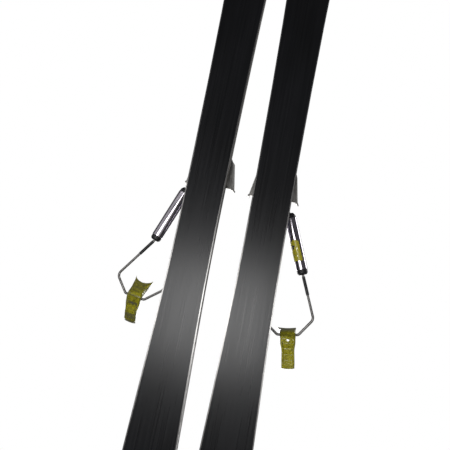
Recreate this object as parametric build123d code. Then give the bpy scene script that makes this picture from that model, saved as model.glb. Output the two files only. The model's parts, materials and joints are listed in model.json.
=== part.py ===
"""A pair of free-heel (telemark) skis with hard-wire cable bindings, in millimetres.

+Z is up and the skis stand on their running surfaces.  +Y points to the tips and +X to the
right ski.  The origin is the centre of the pair's footprint box, on the floor.  Each ski is
modelled for the right foot about its own centre line, with y = 0 at the rear edge of the toe
plate, and the left one is its mirror image with its own resting angles.
"""

import math
import os

from build123d import *

# ---- the pair -------------------------------------------------------------------------------
SKI_SPACING = 122.0  # centre line to centre line

# ---- ski, side view (y, z) ------------------------------------------------------------------
TAIL_Y, REAR_CONTACT_Y, CAMBER_Y, FRONT_CONTACT_Y, TIP_Y = -845.0, -775.0, -60.0, 745.0, 935.0
TAIL_RISE, CAMBER, TIP_RISE = 8.0, 6.0, 62.0
TIP_SLOPE = 34.0  # degrees, at the end of the shovel
DECK_Z = 26.0  # flat mounting deck under the binding
DECK_REAR_Y, DECK_FRONT_Y = -300.0, 90.0
TAIL_THICKNESS, REAR_THICKNESS, FRONT_THICKNESS, TIP_THICKNESS = 8.0, 9.5, 9.5, 6.5

# ---- ski, plan ------------------------------------------------------------------------------
WAIST_HALF, WAIST_Y = 35.0, -84.0
FRONT_SIDECUT_RADIUS = 19100.0
REAR_MID_HALF, REAR_MID_Y = 41.4, -400.0
TAIL_HALF, TAIL_WIDEST_Y = 48.0, -740.0

# ---- ski layers -----------------------------------------------------------------------------
EDGE_HEIGHT, EDGE_WIDTH = 2.0, 2.0
SIDEWALL_SETBACK, SIDEWALL_WIDTH = 0.3, 5.0
TOPSHEET_THICKNESS, TOPSHEET_SETBACK = 0.9, 0.8

# ---- screws ---------------------------------------------------------------------------------
SCREW_RADIUS, SCREW_HEAD_RADIUS, SCREW_HEAD_HEIGHT = 2.65, 4.6, 2.6
SCREW_DEPTH = 9.0  # into the ski
SCREW_CLEARANCE = 0.1

# ---- toe piece ------------------------------------------------------------------------------
TOE_RISER_HEIGHT, TOE_RISER_HALF = 14.0, 31.0
TOE_REAR_Y, TOE_FRONT_Y = -4.0, 62.0
TOE_SCREWS = [(0.0, 38.0), (-14.0, 8.0), (14.0, 8.0)]
PLATE_THICKNESS = 2.5
PLATE_REAR_HALF, PLATE_FRONT_HALF = 45.0, 34.5
EAR_HEIGHT, EAR_LEAN, EAR_FRONT_Y = 18.0, 2.6, 54.0
EAR_LIP_WIDTH, EAR_LIP_REAR_Y = 7.0, 12.0
EAR_ROLL_RADIUS = 2.2
PAD_THICKNESS = 1.5

# ---- lead cable -----------------------------------------------------------------------------
CABLE_RADIUS = 1.6
CABLE_Z = 37.0
CABLE_ARM_X = 25.0  # where each arm leaves the toe riser
CABLE_BEND_Y = 26.0  # centre of the half turn round the front
GROOVE_RADIUS = 2.2

# ---- heel assembly, measured from its pivot: x outwards, y forwards, z up --------------------
PIVOT_Y = -20.0
CARTRIDGE_LENGTH, CARTRIDGE_RADIUS, CARTRIDGE_WALL = 113.0, 10.2, 1.4
CARTRIDGE_REAR_Y = -119.0
CAP_LENGTH, CAP_PLUG, CAP_NOSE_RADIUS = 9.0, 5.0, 6.5
ROD_HOLE_RADIUS = 4.4
WIRE_RADIUS = 2.3
WIRE_SHOULDER = (45.0, -195.0)  # first bend
WIRE_CORNER = (18.5, -222.0)  # second bend
ROD_BEND_RADIUS, SHOULDER_RADIUS, CORNER_RADIUS = 18.0, 11.0, 6.0
ROD_INSIDE = 34.0  # how far the rod reaches into its cartridge
SLEEVE_LENGTH, SLEEVE_RADIUS = 33.0, 2.9
NUT_LENGTH, NUT_RADIUS, NUT_FLANGE, NUT_FLANGE_RADIUS = 12.0, 4.4, 2.5, 6.6
SPRING_RADIUS, SPRING_WIRE_RADIUS, SPRING_TURNS = 5.7, 0.8, 6
LABEL_START, LABEL_LENGTH, LABEL_ARC, LABEL_THICKNESS = 44.0, 38.0, 110.0, 0.25

# ---- heel lever, measured from the wire it turns on ------------------------------------------
LEVER_BORE_CLEARANCE = 0.08
LEVER_BOSS_RADIUS, LEVER_BOSS_HALF = 6.0, 14.0
HANDLE_LENGTH, HANDLE_END_HALF, HANDLE_DEPTH, HANDLE_WALL = 58.0, 11.0, 9.0, 2.6
CRADLE_LENGTH, CRADLE_HALF, CRADLE_THICKNESS, CRADLE_ANGLE = 40.0, 17.0, 4.2, 66.0
CRADLE_NOTCH_RADIUS = 17.0
RIVET_RADIUS, RIVET_Y = 2.4, -9.5

# ---- heel riser -----------------------------------------------------------------------------
HEEL_REAR_Y, HEEL_FRONT_Y, HEEL_HALF, HEEL_HEIGHT = -235.0, -175.0, 28.0, 16.5
HEEL_SCREWS = [(x, y) for y in (-222.0, -188.0) for x in (-19.0, 19.0)]
HEEL_PAD_HALF = 11.0

# ---- how each ski lies at rest --------------------------------------------------------------
# Angles in degrees: yaw swings the heel assembly outwards and pitch lifts its rear.  Sway moves
# it outwards and forwards off its pivot, which the bendy lead cable allows.  A cartridge is
# placed by how far its rear is from the middle and by its splay, which brings its front inwards.
# Wire shift is how far the heel wire hangs outwards and forwards of its place behind them.
SKIS = {
    "left": {
        "side": -1, "forward": 0.0, "yaw": 9.5, "pitch": 3.5, "sway": (11.0, 0.0), "lever": -10.0,
        "outer": (47.0, 12.0), "inner": (23.0, -1.5), "wire_shift": (20.0, -2.0),
    },
    "right": {
        "side": 1, "forward": 6.0, "yaw": 9.0, "pitch": 3.5, "sway": (9.0, 8.0), "lever": 33.0,
        "outer": (54.0, 12.0), "inner": (15.5, -5.0), "wire_shift": (52.0, -6.0),
    },
}


# ---------------------------------------------------------------------------------------------
# ski
# ---------------------------------------------------------------------------------------------
def slope(degrees):
    return (math.cos(math.radians(degrees)), math.sin(math.radians(degrees)))


def base_line(lift):
    """The running surface from tail to tip, seen from the side and lifted by lift."""
    tail = (TAIL_Y, TAIL_RISE + lift)
    rear, front = (REAR_CONTACT_Y, lift), (FRONT_CONTACT_Y, lift)
    return [
        Spline(tail, rear, tangents=[slope(-9), (1, 0)]),
        Spline(rear, (CAMBER_Y, CAMBER + lift), front, tangents=[(1, 0), (1, 0)]),
        Spline(front, (TIP_Y, TIP_RISE + lift), tangents=[(1, 0), slope(TIP_SLOPE)]),
    ]


def top_line(drop):
    """The upper surface from tail to tip, seen from the side and lowered by drop."""
    tail = (TAIL_Y, TAIL_RISE + TAIL_THICKNESS - drop)
    rear = (REAR_CONTACT_Y, REAR_THICKNESS - drop)
    deck_rear, deck_front = (DECK_REAR_Y, DECK_Z - drop), (DECK_FRONT_Y, DECK_Z - drop)
    front = (FRONT_CONTACT_Y, FRONT_THICKNESS - drop)
    tip = (TIP_Y, TIP_RISE + TIP_THICKNESS - drop)
    return [
        Spline(tail, rear, tangents=[slope(-9), (1, 0.012)]),
        Spline(rear, deck_rear, tangents=[(1, 0.012), (1, 0)]),
        Line(deck_rear, deck_front),
        Spline(deck_front, front, tangents=[(1, 0), (1, 0)]),
        Spline(front, tip, tangents=[(1, 0), slope(TIP_SLOPE)]),
    ]


def plan_outline(inset):
    """Half of the ski's plan mirrored to a whole face, moved in from the true edge by inset."""
    front_half = WAIST_HALF + (FRONT_CONTACT_Y - WAIST_Y) ** 2 / (2 * FRONT_SIDECUT_RADIUS)
    half_way = (FRONT_CONTACT_Y + WAIST_Y) / 2
    half_way_half = WAIST_HALF + (half_way - WAIST_Y) ** 2 / (2 * FRONT_SIDECUT_RADIUS)
    tail, tip = (0, TAIL_Y + inset), (0, TIP_Y - inset)
    waist = (WAIST_HALF - inset, WAIST_Y)
    widest_tail = (TAIL_HALF - inset, TAIL_WIDEST_Y)
    widest_tip = (front_half - inset, FRONT_CONTACT_Y)
    edges = [
        Spline(tail, (0.8 * TAIL_HALF - inset, TAIL_Y + 20 + inset), widest_tail,
               tangents=[(1, 0), (0, 1)]),
        Spline(widest_tail, (REAR_MID_HALF - inset, REAR_MID_Y), waist,
               tangents=[(0, 1), (0, 1)]),
        ThreePointArc(waist, (half_way_half - inset, half_way), widest_tip),
        Spline(widest_tip, (0.84 * front_half - inset, TIP_Y - 78), tip,
               tangents=[(0.043, 1), (-1, 0)]),
    ]
    edges += [mirror(edge, Plane.YZ).edge() for edge in edges]
    return make_face(Wire(edges))


def layer(lower, upper, plan):
    """The part of a ski between two side-view lines, inside a plan."""
    ends = [Line(lower[0] @ 0, upper[0] @ 0), Line(lower[-1] @ 1, upper[-1] @ 1)]
    profile = make_face(Wire(lower + upper + ends))
    width = 2 * TAIL_HALF + 60
    return extrude(Plane.YZ * profile, amount=width / 2, both=True) & extrude(plan, amount=120)


def screw_holes(places, low, high, radius):
    return [
        Pos(x, y, (low + high) / 2) * Cylinder(radius, high - low) for x, y in places
    ]


def ski_nodes():
    base_low, base_high = base_line(0), base_line(EDGE_HEIGHT)
    core_top, sheet_top = top_line(TOPSHEET_THICKNESS), top_line(0)
    edge_inner = plan_outline(EDGE_WIDTH)
    wall_inner = plan_outline(SIDEWALL_SETBACK + SIDEWALL_WIDTH)
    holes = screw_holes(
        TOE_SCREWS + HEEL_SCREWS, DECK_Z - SCREW_DEPTH - 1, DECK_Z + 1,
        SCREW_RADIUS + SCREW_CLEARANCE,
    )
    return {
        "running_base": layer(base_low, base_high, edge_inner),
        "steel_edges": layer(base_low, base_high, plan_outline(0) - edge_inner),
        "wood_core": layer(base_high, core_top, wall_inner) - holes,
        "sidewalls": layer(base_high, core_top, plan_outline(SIDEWALL_SETBACK) - wall_inner),
        "topsheet": layer(core_top, sheet_top, plan_outline(TOPSHEET_SETBACK)) - holes,
    }


# ---------------------------------------------------------------------------------------------
# toe piece
# ---------------------------------------------------------------------------------------------
def screws(places, head_top):
    """Countersunk mounting screws with a cross recess, as one group of solids."""
    length = head_top - (DECK_Z - SCREW_DEPTH)
    shank = Pos(0, 0, -length / 2) * Cylinder(SCREW_RADIUS, length)
    head = Pos(0, 0, -SCREW_HEAD_HEIGHT / 2) * Cone(
        SCREW_RADIUS, SCREW_HEAD_RADIUS, SCREW_HEAD_HEIGHT
    )
    slots = Box(5.4, 1.1, 2.4) + Box(1.1, 5.4, 2.4)
    screw = shank + head - slots
    return Compound([Pos(x, y, head_top) * screw for x, y in places])


def countersinks(places, head_top, bottom):
    cuts = []
    for x, y in places:
        shank_height = head_top - bottom + 1
        cuts.append(
            Pos(x, y, head_top - shank_height / 2)
            * Cylinder(SCREW_RADIUS + SCREW_CLEARANCE, shank_height)
        )
        cuts.append(
            Pos(x, y, head_top - SCREW_HEAD_HEIGHT / 2)
            * Cone(
                SCREW_RADIUS + SCREW_CLEARANCE,
                SCREW_HEAD_RADIUS + SCREW_CLEARANCE,
                SCREW_HEAD_HEIGHT,
            )
        )
        cuts.append(Pos(x, y, head_top + 5) * Cylinder(SCREW_HEAD_RADIUS + 0.6, 10))
    return cuts


def lead_path():
    """The cable's line inside the toe riser: back to front, half a turn, and back again."""
    rear_left, rear_right = (-CABLE_ARM_X, TOE_REAR_Y), (CABLE_ARM_X, TOE_REAR_Y)
    left, right = (-CABLE_ARM_X, CABLE_BEND_Y), (CABLE_ARM_X, CABLE_BEND_Y)
    front = (0, CABLE_BEND_Y + CABLE_ARM_X)
    wire = Wire([Line(rear_left, left), ThreePointArc(left, front, right), Line(right, rear_right)])
    return Pos(0, 0, CABLE_Z) * wire


def tube_along(path, radius):
    return sweep(Plane(origin=path @ 0, z_dir=path % 0) * Circle(radius), path=path)


def toe_nodes():
    deck, plate_low = DECK_Z, DECK_Z + TOE_RISER_HEIGHT
    plate_high = plate_low + PLATE_THICKNESS

    body = Pos(0, (TOE_REAR_Y + TOE_FRONT_Y) / 2, deck + TOE_RISER_HEIGHT / 2) * Box(
        2 * TOE_RISER_HALF, TOE_FRONT_Y - TOE_REAR_Y, TOE_RISER_HEIGHT
    )
    body = fillet(body.edges().filter_by(Axis.Z).sort_by(Axis.Y)[-2:], 14)
    body = fillet(body.edges().filter_by(Axis.Z).sort_by(Axis.Y)[:2], 3)
    groove_floor = CABLE_Z - GROOVE_RADIUS
    arms = [
        Pos(x, (TOE_REAR_Y - 1 + CABLE_BEND_Y) / 2, (groove_floor + plate_low + 1) / 2)
        * Box(2 * GROOVE_RADIUS, CABLE_BEND_Y - TOE_REAR_Y + 1, plate_low + 1 - groove_floor)
        for x in (-CABLE_ARM_X, CABLE_ARM_X)
    ]
    ring = Cylinder(CABLE_ARM_X + GROOVE_RADIUS, 20) - Cylinder(CABLE_ARM_X - GROOVE_RADIUS, 20)
    ring = ring & Pos(0, 50, 0) * Box(100, 100, 20)
    turn = Pos(0, CABLE_BEND_Y, groove_floor + 10) * ring
    riser = body - arms - turn - countersinks(TOE_SCREWS, plate_high, deck)

    plan = Polygon(
        (-PLATE_REAR_HALF, 0), (PLATE_REAR_HALF, 0),
        (PLATE_FRONT_HALF, TOE_FRONT_Y), (-PLATE_FRONT_HALF, TOE_FRONT_Y), align=None,
    )
    plan = fillet(plan.vertices().sort_by(Axis.Y)[-2:], 12)
    pan = Pos(0, 0, plate_low) * extrude(plan, amount=PLATE_THICKNESS)
    taper = (PLATE_REAR_HALF - PLATE_FRONT_HALF) / TOE_FRONT_Y
    front_x = PLATE_REAR_HALF - taper * EAR_FRONT_Y
    ear_top = plate_low + EAR_HEIGHT

    def ear_plan(height, shift, y0, inner):
        x0 = PLATE_REAR_HALF - taper * y0
        quad = Polygon(
            (x0 - inner + shift, y0), (x0 + shift, y0),
            (front_x + shift, EAR_FRONT_Y), (front_x - inner + shift, EAR_FRONT_Y), align=None,
        )
        return Pos(0, 0, height) * quad

    wall = loft([ear_plan(plate_low, 0, 0, PLATE_THICKNESS),
                 ear_plan(ear_top, EAR_LEAN, 0, PLATE_THICKNESS)])
    lip = extrude(ear_plan(ear_top - PLATE_THICKNESS, EAR_LEAN - 1.2, EAR_LIP_REAR_Y, EAR_LIP_WIDTH),
                  amount=PLATE_THICKNESS)
    lean = math.degrees(math.atan2(EAR_LEAN, EAR_HEIGHT))
    roll = Pos(PLATE_REAR_HALF - 0.6 + EAR_LEAN / 2, 0.5, (plate_low + ear_top) / 2) * (
        Rot(Y=lean) * Cylinder(EAR_ROLL_RADIUS, EAR_HEIGHT)
    )
    eyelet = Pos(PLATE_REAR_HALF, 8, plate_low + 10) * (Rot(Y=90) * Cylinder(2.2, 20))
    ear = wall + lip + roll - eyelet
    plate = pan + ear + mirror(ear, Plane.YZ) - countersinks(TOE_SCREWS, plate_high, plate_low)

    inset = 5.0
    pad_plan = Polygon(
        (4 - PLATE_REAR_HALF, 3), (PLATE_REAR_HALF - 4, 3),
        (PLATE_FRONT_HALF - inset, TOE_FRONT_Y - inset),
        (inset - PLATE_FRONT_HALF, TOE_FRONT_Y - inset), align=None,
    )
    pad_plan = fillet(pad_plan.vertices(), 5)
    pad = Pos(0, 0, plate_high) * extrude(pad_plan, amount=PAD_THICKNESS)
    ribs = [
        Pos(0, y, plate_high + PAD_THICKNESS) * Box(46, 1.6, 1.2) for y in (17, 22, 27, 48)
    ]
    pad = pad - countersinks(TOE_SCREWS, plate_high, plate_low) - ribs
    return {
        "toe_riser": riser,
        "toe_plate": plate,
        "toe_pad": pad,
        "toe_screws": screws(TOE_SCREWS, plate_high),
        "toe_cable": tube_along(lead_path(), CABLE_RADIUS),
    }


# ---------------------------------------------------------------------------------------------
# heel riser
# ---------------------------------------------------------------------------------------------
def heel_nodes():
    middle = (HEEL_REAR_Y + HEEL_FRONT_Y) / 2
    length, top = HEEL_FRONT_Y - HEEL_REAR_Y, DECK_Z + HEEL_HEIGHT
    block = Pos(0, middle, DECK_Z + HEEL_HEIGHT / 2) * Box(2 * HEEL_HALF, length, HEEL_HEIGHT)
    block = fillet(block.edges().filter_by(Axis.Z), 6)
    block = chamfer(block.faces().sort_by(Axis.Z)[-1].edges(), 1.2)
    head_top = top - 4
    riser = block - countersinks(HEEL_SCREWS, head_top, DECK_Z)
    pad = Pos(0, middle, top + PAD_THICKNESS / 2) * Box(
        2 * HEEL_PAD_HALF, length - 10, PAD_THICKNESS
    )
    pad = fillet(pad.edges().filter_by(Axis.Z), 4)
    pad -= [
        Pos(0, middle + step * 8, top + PAD_THICKNESS) * Box(14, 1.6, 1.2)
        for step in range(-2, 3)
    ]
    return {
        "heel_riser": riser,
        "heel_pad": pad,
        "heel_screws": screws(HEEL_SCREWS, head_top),
    }


# ---------------------------------------------------------------------------------------------
# cartridges and heel wire, in the pivot's frame
# ---------------------------------------------------------------------------------------------
def cartridge_place(rear_x, splay):
    """A cartridge's own frame: +Y forwards along its axis, from the middle of its rear end."""
    return Pos(rear_x, CARTRIDGE_REAR_Y, 0) * Rot(Z=splay)


def along_y(solid):
    """Turns a solid made along +Z so that its +Z end points along +Y."""
    return Rot(X=-90) * solid


def revolve_y(points):
    """A round solid about +Y from its (distance along the axis, radius) outline."""
    outline = Polygon(*[(radius, distance) for distance, radius in points], align=None)
    return revolve(outline, axis=Axis.Y)


def cartridge_nodes(name, rear_x, splay):
    place = cartridge_place(rear_x, splay)
    bore = CARTRIDGE_RADIUS - CARTRIDGE_WALL
    plug = bore - 0.05
    front, rear = CARTRIDGE_LENGTH, 0.0
    tube_front, tube_rear = front - CAP_LENGTH, rear + CAP_LENGTH
    tube = revolve_y([
        (tube_rear, bore), (tube_front, bore), (tube_front, CARTRIDGE_RADIUS - 0.6),
        (tube_front - 0.6, CARTRIDGE_RADIUS), (tube_rear + 0.6, CARTRIDGE_RADIUS),
        (tube_rear, CARTRIDGE_RADIUS - 0.6),
    ])
    front_cap = revolve_y([
        (tube_front - CAP_PLUG, 0), (tube_front - CAP_PLUG, plug), (tube_front, plug),
        (tube_front, CARTRIDGE_RADIUS - 0.5), (front - 5, CARTRIDGE_RADIUS - 0.8),
        (front, CAP_NOSE_RADIUS), (front, 0),
    ])
    rear_cap = revolve_y([
        (tube_rear + CAP_PLUG, ROD_HOLE_RADIUS), (tube_rear + CAP_PLUG, plug), (tube_rear, plug),
        (tube_rear, CARTRIDGE_RADIUS - 0.5), (rear + 3, CARTRIDGE_RADIUS - 0.8),
        (rear, CARTRIDGE_RADIUS - 3.2), (rear, ROD_HOLE_RADIUS),
    ])
    spring_low = tube_rear + CAP_PLUG + SPRING_WIRE_RADIUS + 0.1
    spring_high = ROD_INSIDE - NUT_FLANGE - SPRING_WIRE_RADIUS - 0.1
    spring_length = spring_high - spring_low
    helix = Helix(spring_length / SPRING_TURNS, spring_length, SPRING_RADIUS)
    coil = sweep(
        Plane(origin=helix @ 0, z_dir=helix % 0) * Circle(SPRING_WIRE_RADIUS), path=helix
    )
    return {
        f"{name}_spring_tube": place * tube,
        f"{name}_front_cap": place * front_cap,
        f"{name}_rear_cap": place * rear_cap,
        f"{name}_spring": place * Pos(0, spring_low, 0) * along_y(coil),
    }


def rod_nut(rear_x, splay):
    """The nut on the end of a rod, which squeezes the spring against the rear cap."""
    back = ROD_INSIDE - NUT_FLANGE
    nut = revolve_y([
        (back, WIRE_RADIUS + 0.02), (back, NUT_FLANGE_RADIUS), (ROD_INSIDE, NUT_FLANGE_RADIUS),
        (ROD_INSIDE, NUT_RADIUS), (back + NUT_LENGTH, NUT_RADIUS),
        (back + NUT_LENGTH, WIRE_RADIUS + 0.02),
    ])
    return cartridge_place(rear_x, splay) * nut


def wire_path(rest):
    """The heel wire from the end of the outer rod round to the end of the inner one."""
    reach = ROD_INSIDE - NUT_FLANGE + NUT_LENGTH

    def half(rear_x, splay, side):
        angle = math.radians(splay)
        end = (rear_x - reach * math.sin(angle), CARTRIDGE_REAR_Y + reach * math.cos(angle))
        rod = [(side * x, y, 0) for x, y in (end, (rear_x, CARTRIDGE_REAR_Y))]
        bends, shift = (WIRE_SHOULDER, WIRE_CORNER), rest["wire_shift"]
        return rod + [(side * x + shift[0], y + shift[1], 0) for x, y in bends]

    points = half(*rest["outer"], 1) + half(*rest["inner"], -1)[::-1]
    radii = [ROD_BEND_RADIUS, SHOULDER_RADIUS, CORNER_RADIUS]
    return FilletPolyline(*points, radius=radii + radii[::-1])


def rod_sleeve(rear_x, shift):
    """The black sleeve on a rod just behind its cartridge."""
    x, y = rear_x, CARTRIDGE_REAR_Y
    dx, dy = WIRE_SHOULDER[0] + shift[0] - x, WIRE_SHOULDER[1] + shift[1] - y
    angle = math.degrees(math.atan2(dx, -dy))
    start = 3.6
    sleeve = Cylinder(SLEEVE_RADIUS, SLEEVE_LENGTH) - Cylinder(WIRE_RADIUS + 0.02, SLEEVE_LENGTH)
    shift = Pos(0, -start - SLEEVE_LENGTH / 2, 0)
    return Pos(x, y, 0) * Rot(Z=angle) * shift * along_y(sleeve)


def label(rear_x, splay):
    """A plain sticker on the underside of the outer cartridge."""
    outer, inner = CARTRIDGE_RADIUS + LABEL_THICKNESS, CARTRIDGE_RADIUS + 0.02
    band = revolve(
        Polygon((inner, 0), (outer, 0), (outer, LABEL_LENGTH), (inner, LABEL_LENGTH), align=None),
        axis=Axis.Y, revolution_arc=LABEL_ARC,
    )
    shift = Pos(0, LABEL_START - LABEL_LENGTH / 2, 0)
    return cartridge_place(rear_x, splay) * shift * Rot(Y=65) * band


# ---------------------------------------------------------------------------------------------
# heel lever, in the frame of the wire it turns on: +Y forwards, +Z up
# ---------------------------------------------------------------------------------------------
def lever_nodes():
    upper = [(3, 5.5), (-20, 3.2), (-44, 3.6), (-HANDLE_LENGTH, 7.4)]
    lower = [(4, -5.6), (-22, -HANDLE_DEPTH + 2.2), (-46, -HANDLE_DEPTH + 3.6), (-HANDLE_LENGTH - 1, 1.0)]
    side = make_face(Wire([
        Spline(*upper), Spline(*lower), Line(upper[0], lower[0]), Line(upper[-1], lower[-1]),
    ]))
    plan = make_face(Wire([
        Line((LEVER_BOSS_HALF, 6), (-LEVER_BOSS_HALF, 6)),
        Spline((-LEVER_BOSS_HALF, 6), (-12.6, -22), (-HANDLE_END_HALF, -HANDLE_LENGTH - 2)),
        Line((-HANDLE_END_HALF, -HANDLE_LENGTH - 2), (HANDLE_END_HALF, -HANDLE_LENGTH - 2)),
        Spline((HANDLE_END_HALF, -HANDLE_LENGTH - 2), (12.6, -22), (LEVER_BOSS_HALF, 6)),
    ]))
    handle = extrude(Plane.YZ * side, amount=20, both=True) & (
        Pos(0, 0, -20) * extrude(plan, amount=40)
    )
    # the hollow back of the handle, open below, with cross ribs left standing
    for y_front, y_rear in ((-14, -25), (-28, -39), (-42, -52)):
        pocket = Box(2 * (HANDLE_END_HALF - HANDLE_WALL) - 1, y_front - y_rear, 12)
        handle -= Pos(0, (y_front + y_rear) / 2, -7.2) * pocket
    lip = Pos(0, -HANDLE_LENGTH + 0.6, 5.6) * Rot(Y=90) * Cylinder(2.6, 2 * HANDLE_END_HALF)
    boss = Rot(Y=90) * Cylinder(LEVER_BOSS_RADIUS, 2 * LEVER_BOSS_HALF)

    # the cradle that hooks on the boot's heel: x across, y along the plate, z its thickness
    notch_y = CRADLE_LENGTH + CRADLE_NOTCH_RADIUS - 8
    cradle_plan = Polygon(
        (-LEVER_BOSS_HALF, 0), (LEVER_BOSS_HALF, 0), (LEVER_BOSS_HALF, 12),
        (CRADLE_HALF, CRADLE_LENGTH), (-CRADLE_HALF, CRADLE_LENGTH), (-LEVER_BOSS_HALF, 12),
        align=None,
    )
    cradle_plan -= Pos(0, notch_y) * Circle(CRADLE_NOTCH_RADIUS - 1.5)
    cradle = Pos(0, 0, -CRADLE_THICKNESS / 2) * extrude(cradle_plan, amount=CRADLE_THICKNESS)
    teeth = [
        Pos(x, CRADLE_LENGTH - 9.5, CRADLE_THICKNESS / 2) * Box(2.0, 10, 2.2)
        for x in (-12, -8, -4, 0, 4, 8, 12)
    ]
    window = Pos(0, 17, 0) * Box(13, 7, 12)
    cradle = cradle - teeth - fillet(window.edges().filter_by(Axis.Z), 2.5)
    flanges = [
        Pos(x, 15, 3.0) * Box(2.4, 26, 6.0)
        for x in (-LEVER_BOSS_HALF + 1.2, LEVER_BOSS_HALF - 1.2)
    ]
    for flange in flanges:
        cradle += flange
    cradle = Rot(X=CRADLE_ANGLE) * cradle

    bore = Rot(Y=90) * Cylinder(WIRE_RADIUS + LEVER_BORE_CLEARANCE, 60)
    rivet_hole = Pos(0, RIVET_Y, 0) * Cylinder(RIVET_RADIUS + 0.05, 30)
    lever = handle + boss + lip + cradle - bore - rivet_hole
    rivet = Pos(0, RIVET_Y, -0.9) * Cylinder(RIVET_RADIUS, 12.4)
    return {"heel_lever": lever, "lever_rivet": rivet}


# ---------------------------------------------------------------------------------------------
# assembly
# ---------------------------------------------------------------------------------------------
def pivot_place(rest):
    turn = Rot(Z=rest["yaw"]) * Rot(X=-rest["pitch"])
    return Pos(0, PIVOT_Y, CABLE_Z) * turn * Pos(*rest["sway"], 0)


def flex_cable(rest):
    """The two short lengths of lead cable between the toe riser and the front caps."""
    place = pivot_place(rest)
    arms = []
    for side, (rear_x, splay) in ((1, rest["outer"]), (-1, rest["inner"])):
        angle = math.radians(splay)
        nose = Vector(
            side * (rear_x - CARTRIDGE_LENGTH * math.sin(angle)),
            CARTRIDGE_REAR_Y + CARTRIDGE_LENGTH * math.cos(angle), 0,
        )
        heading = Vector(side * math.sin(angle), -math.cos(angle), 0)
        end = (place * Pos(nose)).position
        direction = (place * Pos(nose + heading)).position - end
        start = Vector(side * CABLE_ARM_X, TOE_REAR_Y, CABLE_Z)
        line = Spline(start, end, tangents=[(0, -1, 0), tuple(direction)])
        arms.append(tube_along(line, CABLE_RADIUS))
    return Compound(arms)


def heel_assembly_nodes(rest):
    shift = rest["wire_shift"]
    nodes = {}
    for name, side in (("outer", 1), ("inner", -1)):
        rear_x, splay = rest[name]
        group = cartridge_nodes(name, rear_x, splay)
        group[f"{name}_rod_nut"] = rod_nut(rear_x, splay)
        group[f"{name}_rod_sleeve"] = rod_sleeve(rear_x, (side * shift[0], shift[1]))
        if side < 0:
            group = {key: mirror(solid, Plane.YZ) for key, solid in group.items()}
        nodes.update(group)
    if rest["side"] < 0:
        nodes["cartridge_label"] = label(*rest["outer"])
    nodes["heel_wire"] = tube_along(wire_path(rest), WIRE_RADIUS)
    for key, solid in lever_nodes().items():
        axis = Pos(shift[0], WIRE_CORNER[1] + shift[1], 0)
        nodes[key] = axis * Rot(X=-rest["lever"]) * solid
    nodes = {key: pivot_place(rest) * solid for key, solid in nodes.items()}
    nodes["flex_cable"] = flex_cable(rest)
    return nodes


def build():
    fixed = {**ski_nodes(), **toe_nodes(), **heel_nodes()}
    nodes = {}
    for name, rest in SKIS.items():
        place = Pos(rest["side"] * SKI_SPACING / 2, rest["forward"], 0)
        for key, solid in {**fixed, **heel_assembly_nodes(rest)}.items():
            if rest["side"] < 0:
                solid = mirror(solid, Plane.YZ)
            nodes[f"{name}_{key}"] = place * solid
    return nodes


def frame_shift(nodes):
    """What moves the pair so that its footprint box is centred on the origin."""
    boxes = [solid.bounding_box() for solid in nodes.values()]
    low = [min(tuple(box.min)[i] for box in boxes) for i in range(2)]
    high = [max(tuple(box.max)[i] for box in boxes) for i in range(2)]
    return -(low[0] + high[0]) / 2, -(low[1] + high[1]) / 2


def main():
    nodes = build()
    shift = frame_shift(nodes)
    print("frame shift", [round(value, 4) for value in shift])
    os.makedirs("parts", exist_ok=True)
    for name, solid in nodes.items():
        export_step(Pos(*shift, 0) * solid, f"parts/{name}.step")


main()
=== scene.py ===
"""A pair of telemark skis: looks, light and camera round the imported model, in metres."""

import json
import math

import bpy
from mathutils import Matrix, Vector


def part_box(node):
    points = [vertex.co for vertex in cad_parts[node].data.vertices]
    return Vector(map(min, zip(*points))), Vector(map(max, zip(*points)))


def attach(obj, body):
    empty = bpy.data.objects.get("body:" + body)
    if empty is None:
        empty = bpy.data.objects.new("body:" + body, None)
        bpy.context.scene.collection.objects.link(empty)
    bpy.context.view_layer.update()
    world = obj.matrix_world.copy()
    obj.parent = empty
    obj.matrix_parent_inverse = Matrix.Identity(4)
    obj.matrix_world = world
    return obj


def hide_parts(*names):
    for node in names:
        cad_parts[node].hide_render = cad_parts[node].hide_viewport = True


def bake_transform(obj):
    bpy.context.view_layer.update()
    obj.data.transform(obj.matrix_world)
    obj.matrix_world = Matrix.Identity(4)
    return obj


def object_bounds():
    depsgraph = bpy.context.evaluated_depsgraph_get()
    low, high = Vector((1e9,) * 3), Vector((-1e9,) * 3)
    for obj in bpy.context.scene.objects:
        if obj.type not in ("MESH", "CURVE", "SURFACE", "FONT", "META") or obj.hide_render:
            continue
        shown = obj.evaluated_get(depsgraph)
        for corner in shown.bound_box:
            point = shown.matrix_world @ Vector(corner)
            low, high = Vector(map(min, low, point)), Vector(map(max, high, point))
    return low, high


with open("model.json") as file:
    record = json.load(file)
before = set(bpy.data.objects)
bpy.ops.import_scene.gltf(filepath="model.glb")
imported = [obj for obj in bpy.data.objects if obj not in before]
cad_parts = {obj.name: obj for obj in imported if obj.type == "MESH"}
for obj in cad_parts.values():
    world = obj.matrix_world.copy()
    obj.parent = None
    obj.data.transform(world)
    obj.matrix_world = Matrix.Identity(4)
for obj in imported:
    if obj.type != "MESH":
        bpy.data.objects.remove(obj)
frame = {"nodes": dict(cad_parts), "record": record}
cad_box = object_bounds()
MM = 0.001
SKIS = ("left", "right")
JOINTS = {joint["name"]: joint for joint in frame["record"]["behaviour"]["joints"]}


def middle(node):
    """The middle of a node's box at rest."""
    low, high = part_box(node)
    return (low + high) / 2


# ---------------------------------------------------------------------------------------------
# camera, light and floor
# ---------------------------------------------------------------------------------------------
CAMERA_PLACE = (-0.1073, -0.2881, -0.8180)
CAMERA_TURN = (-167.258, -4.962, 168.905)  # degrees
CAMERA_LENS = 38.4
CAMERA_RANGE = (0.01, 50)

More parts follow.
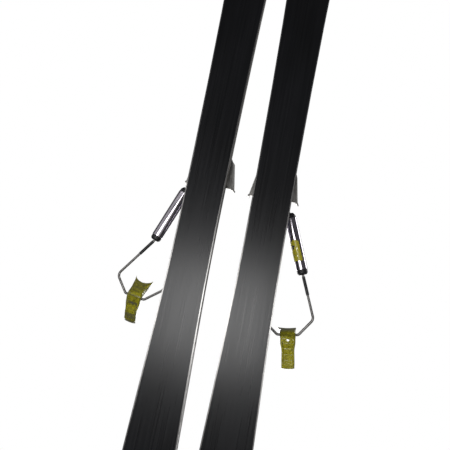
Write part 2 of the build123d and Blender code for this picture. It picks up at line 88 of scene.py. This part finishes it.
ROOM_LIGHT = (0.070, 0.070, 0.074)
BACKDROP = (1.0, 1.0, 1.0)
LIGHTS = [  # name, place, aim, size, watts
    ("sheen", (0.09, -0.24, -0.82), (0.0, -0.24, 0.0), (0.32, 0.5), 2.25),
    ("low_fill", (-0.9, -0.7, -0.9), (0.0, -0.1, 0.0), (1.4, 1.4), 2.6),
    ("side_fill", (1.1, -0.1, -0.7), (0.0, -0.1, 0.03), (1.3, 1.3), 1.8),
    ("tube_glint", (0.75, 0.35, -0.75), (0.0, -0.15, 0.04), (0.10, 0.9), 0.8),
    ("ceiling", (0.6, -0.8, 2.4), (0.0, 0.0, 0.0), (2.2, 2.2), 46),
    ("window", (-2.2, 1.4, 1.2), (0.0, 0.0, 0.0), (1.4, 1.0), 20),
]

FLOOR_HALF = 40.0
FLOOR_GAP = 0.2 * MM
FLOOR_PALE = (0.36, 0.36, 0.355)
FLOOR_GLOW = (0.60, 0.60, 0.595)


def add_object(name, data):
    item = bpy.data.objects.new(name, data)
    bpy.context.collection.objects.link(item)
    return item


def empty_tree(owner):
    owner.use_nodes = True
    owner.node_tree.nodes.clear()
    return owner.node_tree


def make_camera():
    data = bpy.data.cameras.new("camera")
    data.lens = CAMERA_LENS
    data.clip_start, data.clip_end = CAMERA_RANGE
    camera = add_object("camera", data)
    camera.location = CAMERA_PLACE
    camera.rotation_euler = [math.radians(angle) for angle in CAMERA_TURN]
    bpy.context.scene.camera = camera


def make_world():
    """White behind the object and through clear plastic; a dim even room for everything else."""
    world = bpy.data.worlds.new("room")
    tree = empty_tree(world)
    path = tree.nodes.new("ShaderNodeLightPath")
    seen = tree.nodes.new("ShaderNodeMath")
    seen.operation = "MAXIMUM"
    mix = tree.nodes.new("ShaderNodeMixShader")
    out = tree.nodes.new("ShaderNodeOutputWorld")
    for socket, ray in enumerate(("Is Camera Ray", "Is Transmission Ray")):
        tree.links.new(path.outputs[ray], seen.inputs[socket])
    tree.links.new(seen.outputs[0], mix.inputs[0])
    for socket, colour in ((1, ROOM_LIGHT), (2, BACKDROP)):
        light = tree.nodes.new("ShaderNodeBackground")
        light.inputs["Color"].default_value = (*colour, 1)
        tree.links.new(light.outputs[0], mix.inputs[socket])
    tree.links.new(mix.outputs[0], out.inputs[0])
    bpy.context.scene.world = world


def make_lights():
    for name, place, aim, size, watts in LIGHTS:
        data = bpy.data.lights.new(name, "AREA")
        data.shape = "RECTANGLE"
        data.size, data.size_y = size
        data.energy = watts
        light = add_object(name, data)
        light.location = place
        light.rotation_euler = (Vector(aim) - Vector(place)).to_track_quat("-Z", "Y").to_euler()
        light.visible_camera = False


def floor_paint():
    """Pale from above, clear from below."""
    material = bpy.data.materials.new("floor_pale")
    tree = empty_tree(material)
    side = tree.nodes.new("ShaderNodeNewGeometry")
    pale = tree.nodes.new("ShaderNodeBsdfDiffuse")
    pale.inputs["Color"].default_value = (*FLOOR_PALE, 1)
    glow = tree.nodes.new("ShaderNodeEmission")
    glow.inputs["Color"].default_value = (*FLOOR_GLOW, 1)
    both = tree.nodes.new("ShaderNodeAddShader")
    clear = tree.nodes.new("ShaderNodeBsdfTransparent")
    mix = tree.nodes.new("ShaderNodeMixShader")
    out = tree.nodes.new("ShaderNodeOutputMaterial")
    tree.links.new(pale.outputs[0], both.inputs[0])
    tree.links.new(glow.outputs[0], both.inputs[1])
    tree.links.new(side.outputs["Backfacing"], mix.inputs[0])
    tree.links.new(both.outputs[0], mix.inputs[1])
    tree.links.new(clear.outputs[0], mix.inputs[2])
    tree.links.new(mix.outputs[0], out.inputs[0])
    return material


def make_floor():
    mesh = bpy.data.meshes.new("floor")
    corners = [(x * FLOOR_HALF, y * FLOOR_HALF, 0) for x, y in ((-1, -1), (1, -1), (1, 1), (-1, 1))]
    mesh.from_pydata(corners, [], [(0, 1, 2, 3)])
    mesh.materials.append(floor_paint())
    floor = add_object("floor", mesh)
    floor.location.z = cad_box[0].z - FLOOR_GAP
    for kind in ("diffuse", "glossy", "transmission", "shadow"):
        setattr(floor, f"visible_{kind}", False)


# ---------------------------------------------------------------------------------------------
# materials
# ---------------------------------------------------------------------------------------------
CHROME = (0.64, 0.60, 0.66)
MIX_FACTOR, MIX_ONE, MIX_OTHER, MIX_RESULT = 0, 6, 7, 2  # the mix node's colour sockets


class Paint:
    """A principled material with short calls for the nodes that feed it."""

    def __init__(self, name, colour, rough, metal=0.0, **settings):
        self.material = bpy.data.materials.new(name)
        self.material.use_nodes = True
        self.tree = self.material.node_tree
        self.shader = self.tree.nodes["Principled BSDF"]
        self.set("Base Color", (*colour, 1))
        self.set("Roughness", rough)
        self.set("Metallic", metal)
        for socket, value in settings.items():
            self.set(socket.replace("_", " ").title().replace("Ior", "IOR"), value)

    def set(self, socket, value):
        self.shader.inputs[socket].default_value = value

    def node(self, kind, **inputs):
        node = self.tree.nodes.new(kind)
        for socket, value in inputs.items():
            self.feed(node.inputs[socket.replace("_", " ").title()], value)
        return node

    def feed(self, socket, value):
        if isinstance(value, bpy.types.NodeSocket):
            self.tree.links.new(value, socket)
        else:
            socket.default_value = value

    def place(self, scale, turn=(0, 0, 0)):
        """Object coordinates in metres, scaled along each axis."""
        coords = self.tree.nodes.new("ShaderNodeTexCoord")
        mapping = self.node("ShaderNodeMapping", vector=coords.outputs["Object"])
        mapping.inputs["Scale"].default_value = scale
        mapping.inputs["Rotation"].default_value = turn
        return mapping.outputs["Vector"]

    def noise(self, scale, detail=3.0, roughness=0.5, turn=(0, 0, 0)):
        """Noise with scale waves to the metre along each axis."""
        noise = self.node("ShaderNodeTexNoise", vector=self.place(scale, turn))
        noise.inputs["Scale"].default_value = 1.0
        noise.inputs["Detail"].default_value = detail
        noise.inputs["Roughness"].default_value = roughness
        return noise.outputs["Fac"]

    def ramp(self, value, *stops):
        """Colours or greys at positions along value."""
        ramp = self.tree.nodes.new("ShaderNodeValToRGB")
        self.feed(ramp.inputs["Fac"], value)
        marks = ramp.color_ramp.elements
        while len(marks) < len(stops):
            marks.new(0.5)
        for mark, (position, colour) in zip(marks, stops):
            mark.position = position
            grey = isinstance(colour, float)
            mark.color = (colour,) * 3 + (1,) if grey else (*colour, 1)
        return ramp.outputs["Color"]

    def mix(self, factor, one, other, blend="MIX"):
        """One colour blended into another, or multiplied by it."""
        mix = self.tree.nodes.new("ShaderNodeMix")
        mix.data_type, mix.blend_type = "RGBA", blend
        for index, value in ((MIX_FACTOR, factor), (MIX_ONE, one), (MIX_OTHER, other)):
            self.feed(mix.inputs[index], (*value, 1) if isinstance(value, tuple) else value)
        return mix.outputs[MIX_RESULT]

    def bump(self, height, strength, distance):
        """Adds a relief on top of those already there."""
        bump = self.node("ShaderNodeBump", height=height)
        bump.inputs["Strength"].default_value = strength
        bump.inputs["Distance"].default_value = distance
        previous = self.shader.inputs["Normal"].links
        if previous:
            self.tree.links.new(previous[0].from_socket, bump.inputs["Normal"])
        self.tree.links.new(bump.outputs["Normal"], self.shader.inputs["Normal"])

    def colour(self, value):
        self.feed(self.shader.inputs["Base Color"], value)

    def roughness(self, value):
        self.feed(self.shader.inputs["Roughness"], value)


def worn_edges(paint, plain, bare, width=0.0006):
    """Blends from plain to bare along the convex edges of the piece."""
    bevel = paint.tree.nodes.new("ShaderNodeBevel")
    bevel.samples = 4
    bevel.inputs["Radius"].default_value = width
    shape = paint.tree.nodes.new("ShaderNodeNewGeometry")
    dot = paint.tree.nodes.new("ShaderNodeVectorMath")
    dot.operation = "DOT_PRODUCT"
    paint.tree.links.new(bevel.outputs["Normal"], dot.inputs[0])
    paint.tree.links.new(shape.outputs["Normal"], dot.inputs[1])
    edge = paint.ramp(dot.outputs["Value"], (0.80, 1.0), (0.985, 0.0))
    return paint.mix(edge, plain, bare)


def base_paint():
    """Black sintered base, brushed along its length, with faint wax streaks."""
    paint = Paint("base_black", (0.008, 0.008, 0.009), 0.30, specular_ior_level=0.62)
    streaks = paint.noise((420, 5, 60), 4, 0.65)
    grain = paint.noise((2600, 30, 300), 2)
    clouds = paint.noise((14, 5, 5), 3)
    tone = paint.ramp(
        streaks, (0.3, (0.0048, 0.0050, 0.0064)), (0.72, (0.0115, 0.0118, 0.0138))
    )
    haze = paint.ramp(clouds, (0.35, 0.6), (0.7, 1.35))
    paint.colour(paint.mix(1.0, tone, haze, "MULTIPLY"))
    paint.roughness(paint.ramp(streaks, (0.25, 0.25), (0.75, 0.35)))
    paint.bump(grain, 0.22, 0.00006)
    paint.bump(streaks, 0.10, 0.00025)
    return paint.material


def steel_paint(name, colour, rough, along=(60, 60, 60), strength=0.1):
    """Ground or drawn steel: fine lines, slight stains."""
    paint = Paint(name, colour, rough, 1.0)
    lines = paint.noise(along, 3, 0.6)
    stains = paint.noise((55, 35, 55), 4, 0.6)
    dark = tuple(0.62 * value for value in colour)
    stained = paint.ramp(stains, (0.42, 0.0), (0.72, 0.7))
    paint.colour(paint.mix(stained, colour, dark))
    paint.roughness(paint.ramp(lines, (0.3, rough * 0.75), (0.7, min(1.0, rough * 1.35))))
    paint.bump(lines, strength, 0.00008)
    return paint.material


def sidewall_paint():
    """Beige-grey milled plastic with thin pressed layers and scuffs."""
    paint = Paint("sidewall_grey", (0.21, 0.19, 0.165), 0.5)
    layers = paint.noise((20, 3, 1700), 2)
    scuffs = paint.noise((300, 26, 500), 5, 0.7)
    tone = paint.ramp(layers, (0.35, (0.16, 0.145, 0.125)), (0.65, (0.27, 0.25, 0.215)))
    scuffed = paint.ramp(scuffs, (0.62, 0.0), (0.75, 0.6))
    paint.colour(paint.mix(scuffed, tone, (0.42, 0.40, 0.37)))
    paint.bump(scuffs, 0.25, 0.0002)
    return paint.material


def topsheet_paint():
    """Deep blue-grey lacquer over a faint flowing grain, under a clear coat."""
    paint = Paint(
        "topsheet_blue", (0.02, 0.03, 0.045), 0.46, coat_weight=0.22, coat_roughness=0.30
    )
    flow = paint.noise((26, 2.2, 8), 6, 0.62)
    fleck = paint.noise((3200, 3200, 3200), 1)
    tone = paint.ramp(
        flow, (0.30, (0.010, 0.014, 0.022)), (0.50, (0.030, 0.050, 0.072)),
        (0.58, (0.012, 0.018, 0.028)), (0.75, (0.055, 0.080, 0.100)),
    )
    sparkle = paint.ramp(fleck, (0.66, 0.0), (0.74, 0.35))
    paint.colour(paint.mix(sparkle, tone, (0.35, 0.38, 0.42)))
    scratches = paint.noise((900, 40, 900), 3, 0.7)
    paint.roughness(paint.ramp(scratches, (0.4, 0.38), (0.8, 0.58)))
    return paint.material


def plastic_paint(name, colour, rough=0.5, grain=2400, wear=0.10):
    """Moulded nylon: a fine spark-eroded grain, slightly greyed on its edges."""
    paint = Paint(name, colour, rough)
    texture = paint.noise((grain, grain, grain), 2)
    patches = paint.noise((60, 60, 60), 3)
    pale = tuple(value + wear for value in colour)
    paint.colour(worn_edges(paint, colour, pale))
    paint.roughness(paint.ramp(patches, (0.3, rough - 0.08), (0.7, rough + 0.10)))
    paint.bump(texture, 0.35, 0.00012)
    return paint.material


def rubber_paint():
    """Black rubber with a cross-hatched tread and dust in it."""
    paint = Paint("pad_rubber", (0.022, 0.022, 0.023), 0.78)
    dust = paint.noise((90, 90, 90), 4, 0.65)
    paint.colour(paint.ramp(dust, (0.35, (0.014, 0.014, 0.015)), (0.75, (0.055, 0.053, 0.050))))
    hatch = paint.node("ShaderNodeMath")
    hatch.operation = "MULTIPLY"
    for index, turn in enumerate((math.radians(45), math.radians(-45))):
        ridges = paint.place((330, 330, 330), (0, 0, turn))
        wave = paint.node("ShaderNodeTexWave", vector=ridges)
        paint.feed(hatch.inputs[index], wave.outputs["Fac"])
    paint.bump(hatch.outputs[0], 0.5, 0.0004)
    return paint.material


def plate_paint():
    """The toe plate's satin stainless sheet, scratched by boots and brighter on its edges."""
    paint = Paint("plate_steel", (0.54, 0.53, 0.50), 0.38, 1.0)
    brush = paint.noise((1500, 40, 1500), 3, 0.6)
    scratches = paint.noise((70, 900, 90), 6, 0.75, (0, 0, math.radians(28)))
    grime = paint.noise((50, 50, 50), 5, 0.6)
    tone = paint.ramp(grime, (0.42, (0.60, 0.585, 0.55)), (0.78, (0.28, 0.27, 0.25)))
    scratched = paint.ramp(scratches, (0.60, 0.0), (0.70, 0.7))
    marked = paint.mix(scratched, tone, (0.70, 0.69, 0.67))
    paint.colour(worn_edges(paint, marked, (0.75, 0.74, 0.72), 0.0004))
    paint.roughness(paint.ramp(brush, (0.3, 0.28), (0.7, 0.46)))
    paint.bump(brush, 0.12, 0.00008)
    return paint.material


def chrome_paint():
    """Polished plate with hairline wiping marks and a slightly violet tint."""
    paint = Paint("tube_chrome", CHROME, 0.10, 1.0)
    wipes = paint.noise((1400, 60, 1400), 4, 0.7)
    smears = paint.noise((70, 30, 70), 3)
    paint.roughness(paint.ramp(smears, (0.35, 0.07), (0.75, 0.20)))
    paint.bump(wipes, 0.012, 0.00004)
    return paint.material


def rope_paint():
    """Steel wire rope: the lay of its strands shows as slanting lines."""
    paint = Paint("rope_steel", (0.42, 0.42, 0.43), 0.34, 1.0)
    slanting = paint.place((260, 260, 260), (0.5, 0.4, 0.5))
    lay = paint.node("ShaderNodeTexWave", vector=slanting).outputs["Fac"]
    paint.colour(paint.ramp(lay, (0.1, (0.16, 0.15, 0.14)), (0.6, (0.55, 0.55, 0.56))))
    paint.bump(lay, 0.8, 0.0004)
    return paint.material


def strand_paint():
    """One strand of the wire rope, with grease between its wires."""
    paint = Paint("strand_steel", (0.50, 0.50, 0.51), 0.30, 1.0)
    grease = paint.noise((800, 800, 800), 3)
    paint.colour(paint.ramp(grease, (0.35, (0.20, 0.19, 0.17)), (0.65, (0.56, 0.56, 0.57))))
    return paint.material


def lever_paint():
    """Olive-yellow clear urethane, cloudy inside, with a soft moulded skin."""
    paint = Paint(
        "lever_urethane", (0.36, 0.33, 0.012), 0.30, ior=1.49, transmission_weight=0.30,
        coat_weight=0.25, coat_roughness=0.12,
    )
    cloud = paint.noise((190, 190, 190), 4, 0.6)
    flow = paint.noise((60, 25, 60), 3)
    tone = paint.ramp(cloud, (0.30, (0.27, 0.245, 0.006)), (0.70, (0.47, 0.435, 0.022)))
    olive = paint.ramp(flow, (0.35, 0.72), (0.70, 1.0))
    paint.colour(paint.mix(1.0, tone, olive, "MULTIPLY"))
    skin = paint.noise((1500, 1500, 1500), 3)
    paint.roughness(paint.ramp(cloud, (0.3, 0.18), (0.7, 0.34)))
    paint.bump(skin, 0.12, 0.00015)
    paint.bump(cloud, 0.15, 0.0004)
    return paint.material


def label_paint():
    """Worn yellow film with plain darker bands, torn through to the chrome in patches."""
    paint = Paint("label_yellow", (0.72, 0.62, 0.03), 0.34, coat_weight=0.2)
    torn = paint.ramp(paint.noise((150, 95, 150), 4, 0.7), (0.555, 0.0), (0.575, 1.0))
    bands = paint.node("ShaderNodeTexWave", vector=paint.place((30, 52, 30), (0, 0, 0.35)))
    bands.inputs["Distortion"].default_value = 1.5
    banded = paint.ramp(bands.outputs["Fac"], (0.70, 0.0), (0.85, 1.0))
    striped = paint.mix(banded, (0.74, 0.66, 0.02), (0.30, 0.26, 0.04))
    paint.colour(paint.mix(torn, striped, CHROME))
    paint.feed(paint.shader.inputs["Metallic"], torn)
    paint.roughness(paint.ramp(torn, (0.0, 0.34), (1.0, 0.14)))
    return paint.material


def wood_paint():
    """Poplar strips with grain along the ski."""
    paint = Paint("core_poplar", (0.55, 0.40, 0.22), 0.6)
    rings = paint.noise((240, 4, 40), 5, 0.6)
    paint.colour(paint.ramp(rings, (0.3, (0.40, 0.27, 0.13)), (0.7, (0.66, 0.50, 0.30))))
    return paint.material


def brass_paint():
    """Turned brass, finely ringed."""
    paint = Paint("nut_brass", (0.62, 0.44, 0.16), 0.28, 1.0)
    turning = paint.noise((300, 900, 300), 2)
    paint.roughness(paint.ramp(turning, (0.3, 0.2), (0.7, 0.4)))
    return paint.material


def paint_nodes():
    """Gives each CAD node its material, by the end of its name, and returns the materials."""
    black = plastic_paint("nylon_black", (0.016, 0.016, 0.018), 0.42)
    screw = steel_paint("screw_zinc", (0.38, 0.38, 0.39), 0.38, (900, 900, 900))
    paints = {
        "running_base": base_paint(),
        "steel_edges": steel_paint("edge_steel", (0.42, 0.41, 0.40), 0.32, (900, 12, 900), 0.06),
        "sidewalls": sidewall_paint(),
        "topsheet": topsheet_paint(),
        "wood_core": wood_paint(),
        "toe_riser": black,
        "heel_riser": black,
        "front_cap": black,
        "rear_cap": black,
        "rod_sleeve": plastic_paint("sleeve_black", (0.012, 0.012, 0.013), 0.36, 1600, 0.03),
        "toe_plate": plate_paint(),
        "toe_pad": rubber_paint(),
        "heel_pad": rubber_paint(),
        "toe_screws": screw,
        "heel_screws": screw,
        "lever_rivet": steel_paint("rivet_steel", (0.80, 0.80, 0.80), 0.14, (700, 700, 700), 0.03),
        "toe_cable": rope_paint(),
        "flex_cable": rope_paint(),
        "spring_tube": chrome_paint(),
        "spring": steel_paint("spring_steel", (0.36, 0.36, 0.37), 0.3, (700, 700, 700)),
        "rod_nut": brass_paint(),
        "heel_wire": steel_paint("wire_stainless", (0.27, 0.26, 0.25), 0.34, (500, 60, 500), 0.03),
        "heel_lever": lever_paint(),
        "cartridge_label": label_paint(),
    }
    for name, node in frame["nodes"].items():
        ending = next(key for key in sorted(paints, key=len, reverse=True) if name.endswith(key))
        node.data.materials.clear()
        node.data.materials.append(paints[ending])
    return paints


# ---------------------------------------------------------------------------------------------
# heel throw lever
# ---------------------------------------------------------------------------------------------
LEVER_STATIONS, LEVER_RING = 120, 56
HANDLE_MM, CRADLE_MM = 58, 40
BEND = math.radians(66)  # between the handle's line and the cradle
BEND_START, BEND_END = -5 * MM, 8 * MM
SQUARENESS = 0.42  # of the section: 1 is an ellipse, 0 a rectangle
RIB_PITCH, TOOTH_PITCH = 11.5, 4.4  # mm
TOOTH_HEIGHT = 0.9 * MM
WALL_ABOVE, WALL_BELOW = 3.6 * MM, 0.8 * MM
MOUTH_HOLLOW, HORN_REACH, TIP_CROWN = 8.5 * MM, 2.5 * MM, 1.2 * MM

# position along the lever from the wire, and size there, in mm
HALF_WIDTHS = [
    (-58, 11.2), (-50, 11.4), (-30, 11.2), (-12, 13.4),
    (0, 14.0), (14, 14.0), (30, 15.2), (40, 17.0),
]
HALF_DEPTHS = [
    (-58, 3.4), (-52, 3.0), (-44, 3.2), (-22, 4.4),
    (0, 6.2), (10, 4.8), (26, 3.4), (40, 2.4),
]
HANDLE_BOWS = [(-58, 5.4), (-50, 1.4), (-34, -2.2), (-16, -1.2), (0, 0.0)]


def smooth(value, low, high):
    """0 below low, 1 above high and a smooth rise between."""
    share = min(1.0, max(0.0, (value - low) / (high - low)))
    return share * share * (3 - 2 * share)


def look_up(value, table):
    """Smooth steps through a short table of (position, size) rows."""
    for (low, start), (high, end) in zip(table, table[1:]):
        if value <= high:
            return start + (end - start) * smooth(value, low, high)
    return table[-1][1]


def tube_faces(first, rings, side):
    """The quads of a tube, whose rings of side points follow one another from index first."""
    faces = []
    for ring in range(rings - 1):
        for k in range(side):
            a = first + ring * side + k
            b = first + ring * side + (k + 1) % side
            faces.append((a, b, b + side, a + side))
    return faces


def lever_line():
    """The lever's middle line from handle end to horns, seen from the side: (s, y, z, heading)."""
    rows = []
    y = z = 0.0
    length = (HANDLE_MM + CRADLE_MM) * MM
    step = length / (LEVER_STATIONS - 1)
    for i in range(LEVER_STATIONS):
        s = i * step - HANDLE_MM * MM
        heading = BEND * smooth(s, BEND_START, BEND_END)
        rows.append((s, y, z, heading))
        y += step * math.cos(heading)
        z += step * math.sin(heading)
    _, wire_y, wire_z, _ = min(rows, key=lambda row: abs(row[0]))
    return [(s, y - wire_y, z - wire_z, heading) for s, y, z, heading in rows]


def lever_relief(mm, x, across, up, depth):
    """How far ribs, teeth and walls stand off the plain section, towards the handle's top."""
    inside = 1 - smooth(abs(across), 0.62, 0.80)
    relief = 0.0
    if up < 0 and mm < -8:  # shallow hollow under the handle, crossed by soft ribs
        rib = abs((mm + HANDLE_MM) % RIB_PITCH - RIB_PITCH / 2)
        hollow = 0.45 + 0.12 * smooth(RIB_PITCH / 2 - rib, 0.4, 3.5)
        relief += hollow * depth * inside * smooth(mm, -55, -49) * (1 - smooth(mm, -16, -8))
    if up > 0 and mm > 14:  # teeth across the cradle's mouth
        tooth = 0.5 + 0.5 * math.cos(2 * math.pi * x / (TOOTH_PITCH * MM))
        relief += TOOTH_HEIGHT * tooth * smooth(mm, 22, 27) * inside
    if mm > 2:  # raised side walls of the cradle
        wall = smooth(abs(across), 0.80, 0.94) * smooth(mm, 2, 10) * (1 - smooth(mm, 27, 37))
        relief += (WALL_ABOVE if up > 0 else WALL_BELOW) * wall
    return relief


def lever_point(row, turn):
    """A point of the lever's skin at one station, turn radians round its section."""
    s, y, z, heading = row
    mm = s / MM
    half, depth = (look_up(mm, table) * MM for table in (HALF_WIDTHS, HALF_DEPTHS))
    if mm < 0:
        z += look_up(mm, HANDLE_BOWS) * MM
    across = math.copysign(abs(math.cos(turn)) ** SQUARENESS, math.cos(turn))
    up = math.copysign(abs(math.sin(turn)) ** SQUARENESS, math.sin(turn))
    x = half * across
    height = depth * up + lever_relief(mm, x, across, up, depth)
    along = MOUTH_HOLLOW * (across * across - 1) * smooth(mm, 6, 40)
    along += HORN_REACH * smooth(abs(across), 0.86, 1.0) * smooth(mm, 30, 40)
    along += TIP_CROWN * across * across * (1 - smooth(mm, -58, -48))
    cos, sin = math.cos(heading), math.sin(heading)
    return (x, y + along * cos - height * sin, z + along * sin + height * cos)


def end_faces(start, ring):
    """Strips from a ring's upper half to its lower half, which close the lever's end."""
    faces = []
    for k in range(ring // 2):
        corners = (start + k, start + k + 1,
                   start + (ring - k - 1) % ring, start + (ring - k) % ring)
        unique = tuple(dict.fromkeys(corners))
        if len(unique) > 2:
            faces.append(unique)
    return faces


def lever_mesh():
    rows = lever_line()
    ring = LEVER_RING
    points = [lever_point(row, 2 * math.pi * k / ring) for row in rows for k in range(ring)]
    faces = tube_faces(0, len(rows), ring)
    faces += [tuple(reversed(face)) for face in end_faces(0, ring)]
    faces += end_faces((len(rows) - 1) * ring, ring)
    mesh = bpy.data.meshes.new("lever")
    mesh.from_pydata(points, [], faces)
    mesh.validate()
    return mesh


def lever_frame(ski):
    """The lever's own axes: x along the wire, y forwards along the handle, z up."""
    joint = JOINTS[f"{ski}_lever_turn"]
    place, axis = Vector(joint["pos_m"]), Vector(joint["axis"]).normalized()
    back = middle(f"{ski}_lever_rivet") - place
    back = (back - axis * back.dot(axis)).normalized()
    x_axis = axis if axis.cross(-back).z > 0 else -axis
    matrix = Matrix.Identity(4)
    for column, vector in enumerate((x_axis, -back, x_axis.cross(-back), place)):
        matrix.col[column].xyz = vector
    return matrix


def make_lever(ski, paint):
    mesh = lever_mesh()
    mesh.transform(lever_frame(ski))
    mesh.materials.append(paint)
    mesh.shade_smooth()
    lever = add_object(f"{ski}_throw_lever", mesh)
    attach(lever, f"{ski}_heel_throw")
    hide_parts(f"{ski}_heel_lever")


# ---------------------------------------------------------------------------------------------
# curved ends of the lead cable
# ---------------------------------------------------------------------------------------------
ROPE_RADIUS = 1.6 * MM
STRAND_RADIUS = ROPE_RADIUS * 0.36
ROPE_STRANDS, STRAND_SIDES = 6, 8
ROPE_LAY = 11 * MM
ROPE_STEPS = 48
ARM_X = 25 * MM  # from the ski's middle to each end of the cable
TUCKED_IN = 3 * MM  # inside the toe riser
PAST_CAP = 4 * MM


def bezier(start, start_pull, end_pull, end, share):
    rest = 1 - share
    return (start * rest ** 3 + start_pull * 3 * rest * rest * share
            + end_pull * 3 * rest * share * share + end * share ** 3)


def off_centre(centre, u, v, distance, turn):
    return centre + (u * math.cos(turn) + v * math.sin(turn)) * distance


def rope_stations(points):
    """Each point with its distance along the rope and two axes across it."""
    stations, length = [], 0.0
    for i, point in enumerate(points):
        before, after = points[max(0, i - 1)], points[min(len(points) - 1, i + 1)]
        length += (point - before).length
        ahead = (after - before).normalized()
        u = ahead.cross(Vector((0, 0, 1))).normalized()
        stations.append((point, length, u, ahead.cross(u)))
    return stations


def rope_mesh(points):
    """Six strands laid round a core along a row of close points."""
    vertices, faces = [], []
    stations = rope_stations(points)
    side = STRAND_SIDES
    for strand in range(ROPE_STRANDS + 1):  # the last is the core
        first = len(vertices)
        out = 0.0 if strand == ROPE_STRANDS else ROPE_RADIUS - STRAND_RADIUS
        for point, length, u, v in stations:
            laid = 2 * math.pi * (strand / ROPE_STRANDS + length / ROPE_LAY)
            centre = off_centre(point, u, v, out, laid)
            vertices += [
                off_centre(centre, u, v, STRAND_RADIUS, 2 * math.pi * k / side) for k in range(side)
            ]
        last = len(vertices) - side
        faces += tube_faces(first, len(stations), side)
        faces.append(tuple(reversed(range(first, first + side))))
        faces.append(tuple(range(last, last + side)))
    mesh = bpy.data.meshes.new("rope")
    mesh.from_pydata(vertices, [], faces)
    mesh.shade_smooth()
    return mesh


def make_lead_ends(ski, paint):
    """Each arm is two ropes, the fore and aft halves of one curve, which meet at its middle."""
    outward = 1 if ski == "right" else -1
    centre_x = middle(f"{ski}_toe_riser").x
    leave_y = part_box(f"{ski}_toe_riser")[0].y
    cable_z = middle(f"{ski}_toe_cable").z
    half = ROPE_STEPS // 2
    for arm, side in (("outer", 1), ("inner", -1)):
        front = middle(f"{ski}_{arm}_front_cap")
        ahead = (front - middle(f"{ski}_{arm}_rear_cap")).normalized()
        end = front + ahead * PAST_CAP
        start = Vector((centre_x + outward * side * ARM_X, leave_y + TUCKED_IN, cable_z))
        pull = (end - start).length * 0.45
        curve = [
            bezier(start, start - Vector((0, pull, 0)), end + ahead * pull, end, i / ROPE_STEPS)
            for i in range(ROPE_STEPS + 1)
        ]
        for part, points, before, after in (
            ("fore", curve[:half + 1], f"{ski}_ski", f"{ski}_lead_cable"),
            ("aft", curve[half:], f"{ski}_lead_cable", f"{ski}_cartridges"),
        ):
            mesh = rope_mesh(points)
            mesh.materials.append(paint)
            rope = add_object(f"{ski}_{arm}_lead_{part}", mesh)
            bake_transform(rope)
            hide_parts(f"{ski}_flex_cable")


# ---------------------------------------------------------------------------------------------
# the scene
# ---------------------------------------------------------------------------------------------
EDGE_ROUNDING = 0.5 * MM
SHARP = math.radians(40)
SAME_POINT = 1e-6


def round_edges(name):
    """Softens the sharp edges of a CAD piece with modifiers."""
    node = frame["nodes"][name]
    weld = node.modifiers.new("weld", "WELD")
    weld.merge_threshold = SAME_POINT
    bevel = node.modifiers.new("bevel", "BEVEL")
    bevel.width, bevel.segments = EDGE_ROUNDING, 2
    bevel.limit_method, bevel.angle_limit = "ANGLE", SHARP


def main():
    bpy.context.scene.view_settings.view_transform = "Standard"
    make_camera()
    make_world()
    make_lights()
    make_floor()
    paints = paint_nodes()
    strand = strand_paint()
    for ski in SKIS:
        make_lever(ski, paints["heel_lever"])
        make_lead_ends(ski, strand)
        for piece in ("toe_riser", "heel_riser"):
            round_edges(f"{ski}_{piece}")


main()
